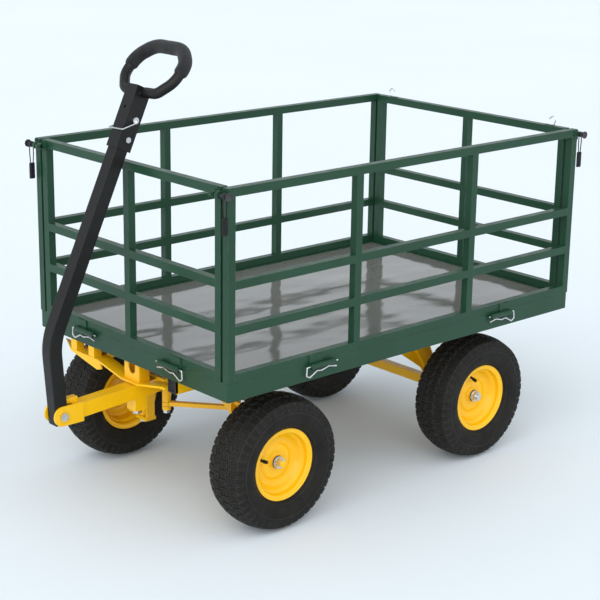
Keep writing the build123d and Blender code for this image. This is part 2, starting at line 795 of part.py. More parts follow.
# ---------------------------------------------------------------- corner latches
latch_spots = {
    "front_left": (1, 1), "front_right": (1, -1), "rear_left": (-1, 1), "rear_right": (-1, -1),
}
keeper_in = 335.0
keeper_out = 350.0
pin_gap = 3.5  # between the drawn pin's tip and the keeper
bush_y = (356.0, 365.0)
collar_in = bush_y[1] + latch_travel + 0.5
collar_thick = 2.5
loop_gap = 4.0
pin_end = 398.0
band = 1.5


def latch_x(end):
    """Latch axis: just outside the front or rear face."""
    return bed_x + end * (bed_length / 2 + latch_out)


def across(side, low, high):
    """A stretch of Y on one side, lowest first."""
    return sorted((side * low, side * high))


def latch_keeper(end, side):
    """Bored boss on the end panel's post, with a round plate behind it."""
    face = bed_x + end * bed_length / 2
    y_low, y_high = across(side, keeper_in, keeper_out)
    boss = rod((latch_x(end), y_low, latch_z), (latch_x(end), y_high, latch_z), 8.0)
    foot = rod((face, (y_low + y_high) / 2, latch_z), (face + end * 4, (y_low + y_high) / 2, latch_z), 13.0)
    x_low, x_high = sorted((face, latch_x(end)))
    web = box_at((x_low, y_low, latch_z - 6), (x_high, y_high, latch_z + 6))
    hole = rod((latch_x(end), y_low - 1, latch_z), (latch_x(end), y_high + 1, latch_z), latch_pin_radius + 0.6)
    return cut(union(boss, foot, web), hole)


def keeper_bolt(end, side):
    """Round-headed bolt through the keeper, from outside."""
    x = latch_x(end) + end * 8.0
    y = side * (keeper_in + keeper_out) / 2
    return rod((x, y, latch_z), (x + end * 3.0, y, latch_z), 5.5)


def latch_bracket(end, side):
    """Band round the top of a side panel's post, carrying the sliding pin's bush in front."""
    face = bed_x + end * bed_length / 2
    back = face - end * 14.0
    x_low, x_high = sorted((back, face + end * band))
    y_low, y_high = across(side, side_face - panel_tube - band, side_face + band)
    outer = box_at((x_low, y_low, latch_z - 13), (x_high, y_high, latch_z + 13))
    x_low, x_high = sorted((back - end, face))
    y_low, y_high = across(side, side_face - panel_tube, side_face)
    inner = box_at((x_low, y_low, latch_z - 15), (x_high, y_high, latch_z + 15))
    y_low, y_high = across(side, *bush_y)
    bush = rod((latch_x(end), y_low, latch_z), (latch_x(end), y_high, latch_z), 9.0)
    x_low, x_high = sorted((face + end * band / 2, latch_x(end)))
    y_web = across(side, side_face - panel_tube, bush_y[1])
    web = box_at((x_low, y_web[0], latch_z - 7), (x_high, y_web[1], latch_z + 7))
    hole = rod(
        (latch_x(end), y_low - 1, latch_z), (latch_x(end), y_high + 1, latch_z),
        latch_pin_radius + running_fit,
    )
    return cut(union(outer, bush, web), inner, hole)


def latch_pin(end, side):
    """Sliding pin with two collars for its pull loop and a round head at the outer end."""
    x = latch_x(end)
    collars = [(collar_in, 7.5), (collar_in + collar_thick + loop_gap, 7.5), (pin_end - 3.0, 9.5)]
    return union(
        rod((x, side * (keeper_out + pin_gap), latch_z), (x, side * pin_end, latch_z), latch_pin_radius),
        *[rod((x, side * at, latch_z), (x, side * (at + collar_thick), latch_z), r) for at, r in collars],
    )


pull_y = collar_in + collar_thick + loop_gap / 2
pull_length = 84.0
pull_radius = 1.3
pull_half = latch_pin_radius + pull_radius + 0.6


def latch_pull(end, side):
    """Wire loop that hangs on the pin between its two collars."""
    x, y = latch_x(end), side * pull_y
    crown = latch_z + pull_half
    bottom = latch_z - pull_length
    points = [
        (x, y, crown), (x + pull_half, y, crown), (x + pull_half, y, latch_z - 26),
        (x + 3.2, y, bottom + 30), (x + 3.2, y, bottom), (x - 3.2, y, bottom), (x - 3.2, y, bottom + 30),
        (x - pull_half, y, latch_z - 26), (x - pull_half, y, crown), (x - 0.3, y, crown),
    ]
    return wire(points, pull_radius, 3.0)


def pull_grip(end, side):
    """Moulded sleeve round the bottom of the wire loop."""
    with BuildPart() as sleeve:
        with BuildSketch(Plane.XY.offset(latch_z - pull_length - 4)):
            with Locations((latch_x(end), side * pull_y)):
                SlotOverall(15.0, 8.0)
        extrude(amount=40.0)
        fillet(sleeve.edges().group_by(Axis.Z)[0] + sleeve.edges().group_by(Axis.Z)[-1], 1.5)
    return sleeve.part


for corner, (end, side) in latch_spots.items():
    save(latch_pin(end, side), f"latch_pin_{corner}")
    loop_wire = latch_pull(end, side)
    group(f"latch_pull_{corner}", [loop_wire, cut(pull_grip(end, side), loop_wire)])

side_inner = side_face - panel_tube
lattice(
    "left_panel", "X", bed_x, bed_length / 2, (side_inner, side_face), (-side_upright_x, side_upright_x),
    panel_leaves["left"],
)
lattice(
    "right_panel", "X", bed_x, bed_length / 2, (-side_face, -side_inner), (-side_upright_x, side_upright_x),
    panel_leaves["right"],
)
lattice(
    "front_panel", "Y", 0.0, end_panel_width / 2, (front_face - panel_tube, front_face), (0.0,),
    panel_leaves["front"],
)
lattice(
    "rear_panel", "Y", 0.0, end_panel_width / 2, (rear_face, rear_face + panel_tube), (0.0,),
    panel_leaves["rear"],
)
group("latch_brackets_left", [latch_bracket(end, 1) for end in (1, -1)])
group("latch_brackets_right", [latch_bracket(end, -1) for end in (1, -1)])
for end, word in ((1, "front"), (-1, "rear")):
    keepers = [latch_keeper(end, side) for side in (1, -1)]
    group(f"{word}_latch_keepers", keepers + [keeper_bolt(end, side) for side in (1, -1)])

# Spring hooks stand on the rear panel's top rail, inboard of its corners.
hook_y = 300.0


def spring_hook(side):
    """Bent wire with a foot lying on the rail and a half loop above it."""
    x = rear_face + panel_tube / 2
    y = side * hook_y
    return wire(
        [
            (x, y - side * 22, panel_top + 1.5), (x, y + side * 8, panel_top + 1.5),
            (x, y + side * 14, panel_top + 16), (x, y + side * 4, panel_top + 26), (x, y - side * 8, panel_top + 17),
        ],
        1.5, 4.0,
    )


group("rear_spring_hooks", [spring_hook(side) for side in (1, -1)])


# ---------------------------------------------------------------- wheels
bead_radius = 80.0
bead_half = rim_width / 2 - 3.0


def tyre(x, y):
    """Balloon tyre: a rounded carcass, open towards the rim."""
    half = tyre_width / 2
    outside = [(-bead_half, 93), (-half, 124), (-45, 157), (0, wheel_radius), (45, 157), (half, 124), (bead_half, 93)]
    inside = [(bead_half - 8, 93), (half - 10, 122), (33, 148), (0, 155), (-33, 148), (10 - half, 122), (8 - bead_half, 93)]
    with BuildPart() as carcass:
        with BuildSketch(Plane.YZ.offset(x)):
            with BuildLine():
                for curve in (outside, inside):
                    Spline(*[(y + u, axle_z + r) for u, r in curve])
                for edge in (-1, 1):
                    Polyline(
                        (y + edge * bead_half, axle_z + 93), (y + edge * bead_half, axle_z + bead_radius),
                        (y + edge * (bead_half - 8), axle_z + bead_radius), (y + edge * (bead_half - 8), axle_z + 93),
                    )
            make_face()
        revolve(axis=Axis((x, 0, axle_z), (0, 1, 0)))
    return carcass.part


hub_radius = 17.0
hub_in = 44.0
hub_out = 16.0
bush_wall = 4.0


def rim(x, y, side):
    """Pressed steel rim with rolled flanges, a dished disc and a welded hub tube."""
    half = rim_width / 2
    # Offset from the wheel's middle towards the outside, and radius.
    barrel = [
        (half + 2, rim_flange), (half, rim_flange), (half - 3, rim_flange - 3), (half - 3, bead_radius),
        (22, bead_radius), (18, 72), (-18, 72), (-22, bead_radius),
        (3 - half, bead_radius), (3 - half, rim_flange - 3), (-half, rim_flange), (-half - 2, rim_flange),
        (-half - 2, rim_flange - 3), (-half, bead_radius - 3), (-24, bead_radius - 3), (-20, 69.5), (10, 69.5),
    ]
    dish = [
        (6, 60), (4, 48), (6, 40), (9, 36), (9, hub_radius - 0.5), (11.5, hub_radius - 0.5), (11.5, 37), (8.5, 42),
        (7, 48), (9, 58), (14, 66), (20, 69.5), (24, bead_radius - 3), (half, bead_radius - 3), (half + 2, rim_flange - 3),
    ]
    with BuildPart() as wheel:
        with BuildSketch(Plane.YZ.offset(x)):
            with BuildLine():
                Polyline(*[(y + side * out, axle_z + r) for out, r in barrel + dish], close=True)
            make_face()
        revolve(axis=Axis((x, 0, axle_z), (0, 1, 0)))
        add(
            rod((x, y - side * hub_in, axle_z), (x, y + side * hub_out, axle_z), hub_radius, hub_radius - bush_wall)
        )
    return wheel.part


def bushes(x, y, side):
    """Two flanged bushes, one in each end of the hub tube."""
    solids = []
    for end, inward in ((-hub_in, 1), (hub_out, -1)):
        flange = rod(
            (x, y + side * (end - inward * 2), axle_z), (x, y + side * end, axle_z),
            hub_radius - 1, axle_radius + running_fit,
        )
        sleeve = rod(
            (x, y + side * end, axle_z), (x, y + side * (end + inward * 16), axle_z),
            hub_radius - bush_wall, axle_radius + running_fit,
        )
        solids.append(union(flange, sleeve))
    return solids


def valve(x, y, side):
    """Rubber valve stem that comes out through the dish."""
    return rod((x, y + side * 2, axle_z + 60), (x, y + side * 34, axle_z + 54), 4.0)


wheel_spots = {
    "front_left": (front_x, front_wheel_y, 1), "front_right": (front_x, front_wheel_y, -1),
    "rear_left": (rear_x, rear_wheel_y, 1), "rear_right": (rear_x, rear_wheel_y, -1),
}
for corner, (x, out, side) in wheel_spots.items():
    stem = valve(x, side * out, side)
    group(f"tyre_{corner}", [tyre(x, side * out), stem])
    save(cut(rim(x, side * out, side), stem), f"rim_{corner}")
    group(f"wheel_bushes_{corner}", bushes(x, side * out, side))

nut_from = hub_out + 2.4  # past the wheel's middle


def axle_nut(x, out, side):
    """Washer and hexagon nut on the end of a spindle."""
    y = side * (out + nut_from)
    return cut(
        union(
            rod((x, y, axle_z), (x, y + side * 2, axle_z), 15.0),
            hexagon((x, y + side * 2, axle_z), (x, y + side * 12, axle_z), 24),
        ),
        rod((x, y - side, axle_z), (x, y + side * 20, axle_z), axle_radius),
    )


def tie_bolt(side, top):
    """Bolt from a knuckle's arm down through the tie rod's eye, with a spacer where the rod lies lower."""
    x, y = pin_x, side * king_y
    solids = [
        rod((x, y, top - tie_thick - 7), (x, y, arm_low + arm_plate + 1), tie_pin_radius),
        hexagon((x, y, arm_low + arm_plate), (x, y, arm_low + arm_plate + 6), 15),
        hexagon((x, y, top - tie_thick - 7), (x, y, top - tie_thick - 1), 15),
    ]
    if top < tie_top:
        solids.append(rod((x, y, top + 0.5), (x, y, arm_low), 8.0))
    return union(*solids)


group("rear_axle_nuts", [axle_nut(rear_x, rear_wheel_y, side) for side in (1, -1)])
for side, word in ((1, "left"), (-1, "right")):
    group(f"knuckle_fasteners_{word}", [axle_nut(front_x, front_wheel_y, side), tie_bolt(side, rod_tops[word])])
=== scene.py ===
"""The garden cart's looks: finishes, tyres, rims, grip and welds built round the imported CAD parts."""

import json
import math

import bmesh
import bpy
from mathutils import Matrix, Vector, noise


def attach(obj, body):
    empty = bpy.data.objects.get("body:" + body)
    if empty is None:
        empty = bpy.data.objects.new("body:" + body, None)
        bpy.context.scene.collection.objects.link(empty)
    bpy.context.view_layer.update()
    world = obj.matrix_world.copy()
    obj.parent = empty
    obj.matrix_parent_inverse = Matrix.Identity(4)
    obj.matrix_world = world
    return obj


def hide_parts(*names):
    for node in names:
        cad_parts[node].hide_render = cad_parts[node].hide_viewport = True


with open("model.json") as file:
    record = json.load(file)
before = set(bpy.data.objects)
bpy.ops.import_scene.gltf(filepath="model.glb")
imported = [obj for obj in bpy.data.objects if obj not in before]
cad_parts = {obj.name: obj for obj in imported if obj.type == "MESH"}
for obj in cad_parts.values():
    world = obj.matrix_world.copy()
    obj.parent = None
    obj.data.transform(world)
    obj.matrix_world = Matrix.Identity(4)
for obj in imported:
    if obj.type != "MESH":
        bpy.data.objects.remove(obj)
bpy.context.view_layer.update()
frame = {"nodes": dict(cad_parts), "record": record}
nodes = frame["nodes"]

joints = frame["record"]["behaviour"]["joints"]
joint_places = {joint["name"]: Vector(joint["pos_m"]) for joint in joints if "pos_m" in joint}
# Where each wheel's valve stands, in degrees from the top towards the front.
VALVE_CLOCKS = {"front_left": 72, "front_right": 30, "rear_left": 12, "rear_right": 60}


# ---------------------------------------------------------------- materials

class Finish:
    """A node material with short names for the nodes that the finishes share."""

    def __init__(self, name, **constants):
        self.material = bpy.data.materials.new(name)
        self.material.use_nodes = True
        self.nodes = self.material.node_tree.nodes
        self.links = self.material.node_tree.links
        self.shader = self.nodes["Principled BSDF"]
        for socket, value in constants.items():
            self.shader.inputs[socket.replace("_", " ")].default_value = value
        self.place = self.nodes.new("ShaderNodeTexCoord").outputs["Object"]

    def link(self, source, target):
        self.links.new(source, target)

    def noise(self, scale, detail=4.0, rough=0.55, stretch=None):
        """Noise in cells per metre, stretched along the object's axes if asked."""
        node = self.nodes.new("ShaderNodeTexNoise")
        node.inputs["Scale"].default_value = scale
        node.inputs["Detail"].default_value = detail
        node.inputs["Roughness"].default_value = rough
        self.link(self.stretched(stretch), node.inputs["Vector"])
        return node.outputs["Fac"]

    def stretched(self, stretch):
        """The place in the object, scaled along each axis."""
        if stretch is None:
            return self.place
        node = self.nodes.new("ShaderNodeMapping")
        node.inputs["Scale"].default_value = stretch
        self.link(self.place, node.inputs["Vector"])
        return node.outputs["Vector"]

    def cells(self, scale):
        """Distance to the nearest of many scattered points."""
        node = self.nodes.new("ShaderNodeTexVoronoi")
        node.inputs["Scale"].default_value = scale
        self.link(self.place, node.inputs["Vector"])
        return node.outputs["Distance"]

    def ramp(self, source, stops):
        """Colours or greys at (position, value) stops."""
        node = self.nodes.new("ShaderNodeValToRGB")
        ramp = node.color_ramp
        while len(ramp.elements) < len(stops):
            ramp.elements.new(0.5)
        for element, (position, value) in zip(ramp.elements, stops):
            element.position = position
            element.color = (*value, 1.0) if isinstance(value, tuple) else (value, value, value, 1.0)
        self.link(source, node.inputs["Fac"])
        return node.outputs["Color"]

    def spread(self, source, low, high, start=0.3, end=0.7):
        """Maps the range start to end onto low to high."""
        node = self.nodes.new("ShaderNodeMapRange")
        for socket, value in (("From Min", start), ("From Max", end), ("To Min", low), ("To Max", high)):
            node.inputs[socket].default_value = value
        self.link(source, node.inputs["Value"])
        return node.outputs["Result"]

    def mix(self, factor, a, b):
        """Colour a where the factor is 0 and b where it is 1."""
        node = self.nodes.new("ShaderNodeMix")
        node.data_type = "RGBA"
        self.link(factor, node.inputs["Factor"])
        for socket, value in ((node.inputs[6], a), (node.inputs[7], b)):
            if isinstance(value, tuple):
                socket.default_value = (*value, 1.0)
            else:
                self.link(value, socket)
        return node.outputs[2]

    def edges(self, radius):
        """1 along the sharp edges, 0 on the faces: how far a rounded normal turns from the true one."""
        bevel = self.nodes.new("ShaderNodeBevel")
        bevel.samples = 6
        bevel.inputs["Radius"].default_value = radius
        flat = self.nodes.new("ShaderNodeNewGeometry")
        dot = self.nodes.new("ShaderNodeVectorMath")
        dot.operation = "DOT_PRODUCT"
        self.link(bevel.outputs["Normal"], dot.inputs[0])
        self.link(flat.outputs["Normal"], dot.inputs[1])
        return self.spread(dot.outputs["Value"], 1.0, 0.0, 0.86, 0.995), bevel.outputs["Normal"]

    def relief(self, layers, normal=None):
        """Bump from (height, distance in metres) layers, chained."""
        for height, distance in layers:
            node = self.nodes.new("ShaderNodeBump")
            node.inputs["Strength"].default_value = 1.0
            node.inputs["Distance"].default_value = distance
            self.link(height, node.inputs["Height"])
            if normal is not None:
                self.link(normal, node.inputs["Normal"])
            normal = node.outputs["Normal"]
        self.link(normal, self.shader.inputs["Normal"])


def painted(name, colour, deep, worn_and_highlight, rough, coat, shine):
    """Stoved paint over steel: orange peel, slow tone drift, dust in the roughness and rubbed edges, lighter
    from wear and from a painted highlight.
    """
    finish = Finish(name, Coat_Weight=coat, Coat_Roughness=0.12, Specular_IOR_Level=shine)
    drift = finish.ramp(finish.noise(7.0, 3.0), [(0.32, deep), (0.68, colour)])
    edge, rounded = finish.edges(0.0012)
    rubbed = finish.spread(finish.noise(60.0, 5.0, 0.7), 0.0, 1.0, 0.42, 0.62)
    edge_wear_and_highlight = finish.nodes.new("ShaderNodeMath")
    edge_wear_and_highlight.operation = "MULTIPLY"
    finish.link(edge, edge_wear_and_highlight.inputs[0])
    finish.link(rubbed, edge_wear_and_highlight.inputs[1])
    # Rubbed sharp edges take the lighter worn colour: edge wear, and a painted highlight along the edges.
    finish.link(finish.mix(edge_wear_and_highlight.outputs[0], drift, worn_and_highlight), finish.shader.inputs["Base Color"])
    smear = finish.noise(22.0, 6.0, 0.62)
    finish.link(finish.spread(smear, rough - 0.06, rough + 0.09), finish.shader.inputs["Roughness"])
    finish.relief([(finish.noise(420.0, 2.0), 0.00007), (finish.noise(38.0, 2.0), 0.00018)], rounded)
    return finish.material


def plated(name, colour, dark, rough, metallic=1.0):
    """Zinc or bright steel: grey mottling, fine scratches and a little dulling."""
    finish = Finish(name, Metallic=metallic)
    mottle = finish.noise(90.0, 5.0, 0.65)
    finish.link(finish.ramp(mottle, [(0.3, dark), (0.7, colour)]), finish.shader.inputs["Base Color"])
    dulling = finish.spread(finish.noise(260.0, 4.0), rough - 0.08, rough + 0.12)
    finish.link(dulling, finish.shader.inputs["Roughness"])
    rounded = finish.edges(0.0006)[1]
    finish.relief([(finish.noise(700.0, 2.0, stretch=(1.0, 1.0, 0.12)), 0.00003)], rounded)
    return finish.material


def deck_sheet():
    """Glossy grey painted sheet that is not quite flat, with faint dirt and a painted highlight along its
    edges.
    """
    finish = Finish("deck_sheet", Coat_Weight=0.35, Coat_Roughness=0.06, Specular_IOR_Level=0.9)
    tones = [(0.3, (0.165, 0.158, 0.150)), (0.7, (0.195, 0.188, 0.180))]
    drift = finish.ramp(finish.noise(5.0, 4.0), tones)
    edge, rounded = finish.edges(0.001)
    # The sheet's sharp edges are mixed to a lighter grey: a painted highlight along its rim.
    finish.link(finish.mix(edge, drift, (0.42, 0.40, 0.39)), finish.shader.inputs["Base Color"])
    finish.link(finish.spread(finish.noise(16.0, 6.0, 0.6), 0.03, 0.10), finish.shader.inputs["Roughness"])
    # Slow waves in the sheet bend the reflections of the posts.
    waves = finish.noise(3.0, 2.0, stretch=(1.0, 1.8, 1.0))
    finish.relief([(waves, 0.0060), (finish.noise(500.0, 2.0), 0.00003)], rounded)
    return finish.material


def rubber(name, dark, grey, rough, dust_and_highlight=0.0):
    """Moulded rubber: matt, faintly mottled, and, where asked, greyer along its edges with dust and a painted
    highlight.
    """
    finish = Finish(name, Specular_IOR_Level=0.16)
    mottle = finish.noise(30.0, 6.0, 0.7)
    base = finish.ramp(mottle, [(0.35, dark), (0.72, grey)])
    rounded = None
    if dust_and_highlight:
        edge, rounded = finish.edges(0.0015)
        # Greyer along the edges: dust, and a painted highlight on the tread's blocks and edges.
        base = finish.mix(finish.spread(edge, 0.0, dust_and_highlight, 0.0, 1.0), base, (0.16, 0.155, 0.15))
    finish.link(base, finish.shader.inputs["Base Color"])
    polish = finish.spread(finish.noise(80.0, 4.0), rough - 0.07, rough + 0.1)
    finish.link(polish, finish.shader.inputs["Roughness"])
    finish.relief([(finish.noise(1500.0, 2.0), 0.00004), (finish.noise(160.0, 3.0), 0.00006)], rounded)
    return finish.material


def foam_finish():
    """Closed-cell foam sleeve: pinholes, soft and matt."""
    finish = Finish(
        "foam_finish", Roughness=0.92, Sheen_Weight=0.15, Sheen_Roughness=0.5, Specular_IOR_Level=0.2
    )
    tones = [(0.3, (0.013, 0.013, 0.014)), (0.7, (0.026, 0.026, 0.028))]
    tone = finish.ramp(finish.noise(55.0, 5.0), tones)
    finish.link(tone, finish.shader.inputs["Base Color"])
    finish.relief([(finish.cells(900.0), 0.00035), (finish.noise(140.0, 3.0), 0.0003)])
    return finish.material


FINISHES = {
    # Paint: name, colour, deeper colour, worn edge (wear and painted highlight), roughness, clear coat,
    # specular level.
    "green_paint": painted(
        "green_stoved_paint",
        (0.0120, 0.054, 0.0275), (0.0095, 0.046, 0.0230), (0.085, 0.165, 0.120), 0.34, 0.08, 0.26,
    ),
    "yellow_paint": painted(
        "yellow_stoved_paint",
        (0.92, 0.51, 0.003), (0.89, 0.47, 0.002), (1.0, 0.78, 0.22), 0.30, 0.16, 0.34,
    ),
    "black_paint": painted(
        "black_stoved_paint",
        (0.0075, 0.0075, 0.0072), (0.0055, 0.0055, 0.0053), (0.05, 0.05, 0.05), 0.42, 0.04, 0.28,
    ),
    "deck_grey": deck_sheet(),
    # Plate: name, colour, darker mottle, roughness.
    "zinc": plated("zinc_plate", (0.78, 0.79, 0.80), (0.52, 0.53, 0.54), 0.26),
    "latch_steel": plated("dark_latch_steel", (0.10, 0.10, 0.105), (0.035, 0.035, 0.038), 0.42, 0.75),
    "foam": foam_finish(),
    # Rubber and plastic: name, darker and greyer tone, roughness, dust and painted highlight along the edges.
    "pull_rubber": rubber("pull_rubber_finish", (0.010, 0.010, 0.011), (0.022, 0.022, 0.023), 0.62),
    "tyre_rubber": rubber(
        "tyre_rubber_finish", (0.0085, 0.0080, 0.0066), (0.0165, 0.0155, 0.0130), 0.58, 0.55
    ),
    "bush_plastic": rubber("bush_plastic_finish", (0.02, 0.02, 0.02), (0.04, 0.04, 0.04), 0.45),
}


def dress_cad_nodes():
    """Every CAD node takes the finish of its record slot."""
    for part in frame["record"]["subparts"]:
        slots = nodes[part["node"]].data.materials
        slots.clear()
        slots.append(FINISHES[part["material_slot"]])


# ---------------------------------------------------------------- meshes

def add_piece(name, mesh, body, slot_name, node=None, angle=32.0):
    """Puts a mesh in the scene as a piece of a body, smooth except across sharp edges."""
    shape = bmesh.new()
    shape.from_mesh(mesh)
    bmesh.ops.recalc_face_normals(shape, faces=shape.faces)
    for face in shape.faces:
        face.smooth = True
    for edge in shape.edges:
        edge.smooth = len(edge.link_faces) != 2 or edge.calc_face_angle() < math.radians(angle)
    shape.to_mesh(mesh)
    shape.free()
    piece = bpy.data.objects.new(name, mesh)
    bpy.context.collection.objects.link(piece)
    mesh.materials.append(FINISHES[slot_name])
    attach(piece, body)
    if node:
        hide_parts(node)
    return piece


def grid_mesh(name, columns, closed_rows=True, closed_columns=True, caps=False):
    """Quads over a grid of points: columns of equal length, closed round in either direction."""
    count, rows = len(columns), len(columns[0])
    points = [point for column in columns for point in column]
    faces = []
    for i in range(count if closed_columns else count - 1):
        for j in range(rows if closed_rows else rows - 1):
            a, b = i * rows, ((i + 1) % count) * rows
            k = (j + 1) % rows
            faces.append((a + j, b + j, b + k, a + k))
    if caps:
        faces.append(tuple(range(rows)))
        faces.append(tuple(range((count - 1) * rows, count * rows)))
    mesh = bpy.data.meshes.new(name)
    mesh.from_pydata([tuple(p) for p in points], [], faces)
    mesh.update()
    return mesh


def join(name, meshes):
    """One mesh out of several separate shells."""
    shape = bmesh.new()
    for mesh in meshes:
        shape.from_mesh(mesh)
    result = bpy.data.meshes.new(name)
    shape.to_mesh(result)
    shape.free()
    return result


def rounded(points, radii, steps=5, closed=True):
    """A polyline with each corner turned into a short smooth curve."""
    result = []
    count = len(points)
    for i, point in enumerate(points):
        here = Vector(point)
        if not closed and i in (0, count - 1):
            result.append(here)
            continue
        before, after = Vector(points[i - 1]), Vector(points[(i + 1) % count])
        reach = radii[i] if isinstance(radii, list) else radii
        start = here + (before - here).normalized() * min(reach, (before - here).length * 0.48)
        end = here + (after - here).normalized() * min(reach, (after - here).length * 0.48)
        for k in range(steps + 1):
            t = k / steps
            result.append(start * (1 - t) ** 2 + here * 2 * t * (1 - t) + end * t**2)
    return result


def on_wheel(centre, side, out, radius, angle):
    """A point of a wheel: out along its axle, and round from the top towards the front."""
    return centre + Vector((radius * math.sin(angle), side * out, radius * math.cos(angle)))


def lathe(name, centre, side, profile, segments=128):
    """A closed profile of (out, radius) turned about a wheel's axle."""
    columns = [
        [on_wheel(centre, side, out, radius, 2 * math.pi * i / segments) for out, radius in profile]
        for i in range(segments)
    ]
    return grid_mesh(name, columns)


# ---------------------------------------------------------------- wheels

PITCHES = 46
# Shares of one tread pitch at which the tyre's section changes: pairs close together are a groove's walls.
WALLS = (0.07, 0.13, 0.37, 0.43, 0.57, 0.63, 0.87, 0.93)
TREAD_DEPTH = 0.0046
SHALLOW = 0.72  # depth of the shoulder's grooves, as a share of the middle's
ZIGZAG = 0.0017
LUG_STEP = 0.0018
LUG_RISE = 0.0012


def crown(out):
    """Radius of the tread's top across the tyre."""
    return 0.167 - out * out / 0.25


def zig(phase):
    """Sideways step of the tread's grooves along one pitch."""
    if 0.1 < phase < 0.4:
        return ZIGZAG
    if 0.6 < phase < 0.9:
        return -ZIGZAG
    return 0.0


TREAD_ROWS = [
    # Across the tread: offset, share of the zigzag, and when the row is a groove: always, or late or early.
    (-0.0492, 0.0, "late"), (-0.0440, 0.0, "late"), (-0.0350, 0.0, "late"), (-0.0272, 1.0, "late"),
    (-0.0258, 1.0, "low"), (-0.0222, 1.0, "low"),
    (-0.0208, 1.0, "early"), (-0.0120, 0.5, "early"), (-0.0034, 1.0, "early"),
    (-0.0020, 1.0, "low"), (0.0020, 1.0, "low"),
    (0.0034, 1.0, "late"), (0.0120, 0.5, "late"), (0.0208, 1.0, "late"),
    (0.0222, 1.0, "low"), (0.0258, 1.0, "low"),
    (0.0272, 1.0, "early"), (0.0350, 0.0, "early"), (0.0440, 0.0, "early"), (0.0492, 0.0, "early"),
]
# Down the shoulder: offset, radius and share of a lug's relief. Then down the sidewall to the bead.
SHOULDER = [(0.0528, 0.1446, 1.0), (0.0541, 0.1412, 0.75), (0.0545, 0.1385, 0.0)]
SIDEWALL = [
    (0.0556, 0.1330), (0.0563, 0.1322), (0.0566, 0.1309), (0.0562, 0.1297), (0.0558, 0.1288), (0.0560, 0.1240),
    (0.0557, 0.1180), (0.0546, 0.1120), (0.0528, 0.1062), (0.0503, 0.1012), (0.0487, 0.0993), (0.0482, 0.0978),
    (0.0466, 0.0968), (0.0442, 0.0944), (0.0424, 0.0922), (0.0408, 0.0902), (0.0396, 0.0886), (0.0372, 0.0868),
    (0.0362, 0.0840), (0.0360, 0.0806),
]
# The inside of the hollow tyre, from one bead to its crown.
INSIDE = [
    (0.0280, 0.0806), (0.0300, 0.0900), (0.0440, 0.1130), (0.0440, 0.1300), (0.0300, 0.1460), (0.0, 0.1530),
]


def row_height(kind, phase):
    """1 on a block, 0 in a groove."""
    if kind == "low":
        return 0.0
    if kind == "late":
        return 0.0 if 0.4 < phase < 0.6 else 1.0
    return 0.0 if phase < 0.1 or phase > 0.9 else 1.0


def shoulder_point(out, radius, share, height):
    """A shoulder point, moved out on a lug and in between two lugs."""
    lug = share * height
    return out + LUG_STEP * lug - LUG_STEP * share * (1 - lug), radius + LUG_RISE * lug


def tyre_column(centre, side, turn, phase):
    """The tyre's closed section at one angle, with the tread's blocks and grooves cut in."""
    section = [(-out, radius) for out, radius in reversed(SIDEWALL)]
    for out, radius, share in reversed(SHOULDER):
        moved, raised = shoulder_point(out, radius, share, row_height("late", phase))
        section.append((-moved, raised))
    for out, share, kind in TREAD_ROWS:
        depth = TREAD_DEPTH * (1.0 if abs(out) < 0.04 else SHALLOW)
        shifted = out + share * zig(phase)
        section.append((shifted, crown(out) - depth * (1 - row_height(kind, phase))))
    for out, radius, share in SHOULDER:
        section.append(shoulder_point(out, radius, share, row_height("early", phase)))
    section.extend(SIDEWALL)
    section.extend(INSIDE)
    section.extend((-out, radius) for out, radius in reversed(INSIDE[:-1]))
    return [on_wheel(centre, side, out, radius, turn) for out, radius in section]


def tyre(name, centre, side):
    """The whole tyre: one section at each groove wall of each pitch."""
    columns = []
    for pitch in range(PITCHES):
        for phase in WALLS:
            columns.append(tyre_column(centre, side, 2 * math.pi * (pitch + phase) / PITCHES, phase))
    return grid_mesh(name, columns)


RIM_SECTION = [
    # Offset, radius and corner size round the pressed section: outer lip, barrel, inner lip, then the dish.
    (0.0412, 0.0880, 0.0012), (0.0412, 0.0903, 0.0018), (0.0388, 0.0906, 0.0018), (0.0360, 0.0868, 0.0030),
    (0.0358, 0.0802, 0.0020), (0.0220, 0.0800, 0.0040), (0.0175, 0.0722, 0.0040), (-0.0175, 0.0722, 0.0040),
    (-0.0220, 0.0800, 0.0040), (-0.0358, 0.0802, 0.0020), (-0.0360, 0.0868, 0.0030), (-0.0388, 0.0906, 0.0018),
    (-0.0412, 0.0903, 0.0018), (-0.0412, 0.0880, 0.0012), (-0.0396, 0.0872, 0.0016), (-0.0386, 0.0774, 0.0060),
    (-0.0240, 0.0772, 0.0050), (-0.0200, 0.0697, 0.0040), (0.0040, 0.0695, 0.0060), (0.0066, 0.0620, 0.0050),
    (0.0048, 0.0530, 0.0040), (0.0050, 0.0450, 0.0040), (0.0092, 0.0400, 0.0035), (0.0094, 0.0300, 0.0040),
    (0.0066, 0.0170, 0.0010), (0.0090, 0.0168, 0.0006), (0.0120, 0.0300, 0.0040), (0.0118, 0.0412, 0.0035),
    (0.0076, 0.0462, 0.0035), (0.0074, 0.0530, 0.0040), (0.0095, 0.0608, 0.0050), (0.0160, 0.0664, 0.0060),
    (0.0215, 0.0697, 0.0060), (0.0252, 0.0770, 0.0050), (0.0384, 0.0774, 0.0050), (0.0397, 0.0868, 0.0016),
]


def rim_shell(name, centre, side):
    """The pressed rim with its dish, turned from one closed section."""
    points = [(out, radius, 0.0) for out, radius, _ in RIM_SECTION]
    profile = [(p.x, p.y) for p in rounded(points, [corner for _, _, corner in RIM_SECTION], 4)]
    return lathe(name, centre, side, profile, 144)


HUB_OUT, HUB_IN = 0.0160, 0.0440
HUB_RADIUS, HUB_BORE, HUB_CHAMFER = 0.0170, 0.0132, 0.0006


